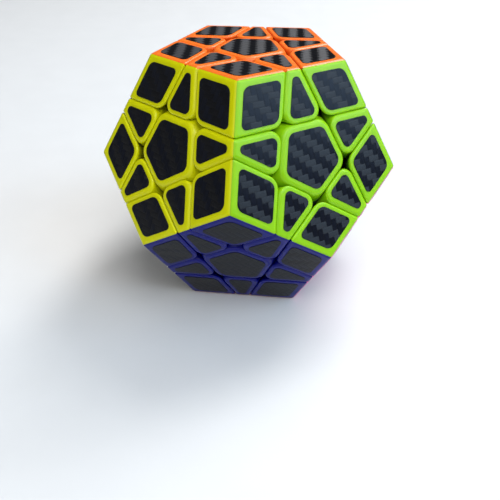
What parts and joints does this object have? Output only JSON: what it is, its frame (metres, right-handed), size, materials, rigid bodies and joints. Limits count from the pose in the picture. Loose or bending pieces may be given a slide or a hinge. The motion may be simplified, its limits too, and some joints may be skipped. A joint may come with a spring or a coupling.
{
  "type": "dodecahedron twisty puzzle",
  "caption": "Dodecahedron twisty puzzle with coloured hollow shells and dark woven-pattern film patches, whose layers turn on a sprung core.",
  "frame": {"origin": "centre of the core, where all the face axes meet", "axes": "+Z along the axis of the orange face, -Y towards the front, where the blue face looks down and forward, -Z along the axis of the red face it rests on"},
  "size_m": [0.0884, 0.093, 0.076],
  "materials": {
    "orange_plastic": "satin",
    "grey_plastic": "satin",
    "light_blue_plastic": "satin",
    "purple_plastic": "satin",
    "yellow_plastic": "satin",
    "lime_plastic": "satin",
    "red_plastic": "satin",
    "white_plastic": "satin",
    "blue_plastic": "satin",
    "pink_plastic": "satin",
    "beige_plastic": "satin",
    "green_plastic": "satin",
    "carbon_film": "satin woven-pattern film",
    "dark_plastic": "moulded",
    "rotor_plastic": "moulded",
    "core_plastic": "moulded",
    "screw_steel": "plated",
    "spring_steel": "drawn wire",
    "washer_steel": "stamped"
  },
  "bodies": {
    "core_and_fixed_layers": {"core": "core_plastic", "screws": "screw_steel", "springs": "spring_steel", "washers": "washer_steel", "rotors": "rotor_plastic", "corner_feet": "dark_plastic", "edge_feet": "dark_plastic", "films": "carbon_film", "cap_orange": "orange_plastic", "cap_light_blue": "light_blue_plastic", "cap_purple": "purple_plastic", "cap_lime": "lime_plastic", "cap_white": "white_plastic", "cap_blue": "blue_plastic", "cap_pink": "pink_plastic", "cap_beige": "beige_plastic", "cap_green": "green_plastic", "shells_orange": "orange_plastic", "shells_light_blue": "light_blue_plastic", "shells_purple": "purple_plastic", "shells_lime": "lime_plastic", "shells_white": "white_plastic", "shells_blue": "blue_plastic", "shells_pink": "pink_plastic", "shells_beige": "beige_plastic", "shells_green": "green_plastic"},
    "yellow_layer": {"yellow_layer_cap": "yellow_plastic", "yellow_layer_rotor": "rotor_plastic", "yellow_layer_corner_feet": "dark_plastic", "yellow_layer_edge_feet": "dark_plastic", "yellow_layer_films": "carbon_film", "yellow_layer_shells_yellow": "yellow_plastic", "yellow_layer_shells_orange": "orange_plastic", "yellow_layer_shells_purple": "purple_plastic", "yellow_layer_shells_lime": "lime_plastic", "yellow_layer_shells_white": "white_plastic", "yellow_layer_shells_blue": "blue_plastic"},
    "grey_layer": {"grey_layer_cap": "grey_plastic", "grey_layer_rotor": "rotor_plastic", "grey_layer_corner_feet": "dark_plastic", "grey_layer_edge_feet": "dark_plastic", "grey_layer_films": "carbon_film", "grey_layer_shells_grey": "grey_plastic", "grey_layer_shells_orange": "orange_plastic", "grey_layer_shells_light_blue": "light_blue_plastic", "grey_layer_shells_lime": "lime_plastic", "grey_layer_shells_pink": "pink_plastic", "grey_layer_shells_beige": "beige_plastic"},
    "red_layer": {"red_layer_cap": "red_plastic", "red_layer_rotor": "rotor_plastic", "red_layer_corner_feet": "dark_plastic", "red_layer_edge_feet": "dark_plastic", "red_layer_films": "carbon_film", "red_layer_shells_red": "red_plastic", "red_layer_shells_white": "white_plastic", "red_layer_shells_blue": "blue_plastic", "red_layer_shells_pink": "pink_plastic", "red_layer_shells_beige": "beige_plastic", "red_layer_shells_green": "green_plastic"}
  },
  "joints": [
    {"name": "yellow_layer_turn", "type": "hinge", "parent": "core_and_fixed_layers", "child": "yellow_layer", "pos_m": [0, 0, 0], "axis": [-0.5257, -0.7236, 0.4472], "continuous": true},
    {"name": "grey_layer_turn", "type": "hinge", "parent": "core_and_fixed_layers", "child": "grey_layer", "pos_m": [0, 0, 0], "axis": [0.8507, 0.2764, 0.4472], "continuous": true},
    {"name": "red_layer_turn", "type": "hinge", "parent": "core_and_fixed_layers", "child": "red_layer", "pos_m": [0, 0, 0], "axis": [0, 0, -1], "continuous": true}
  ]
}
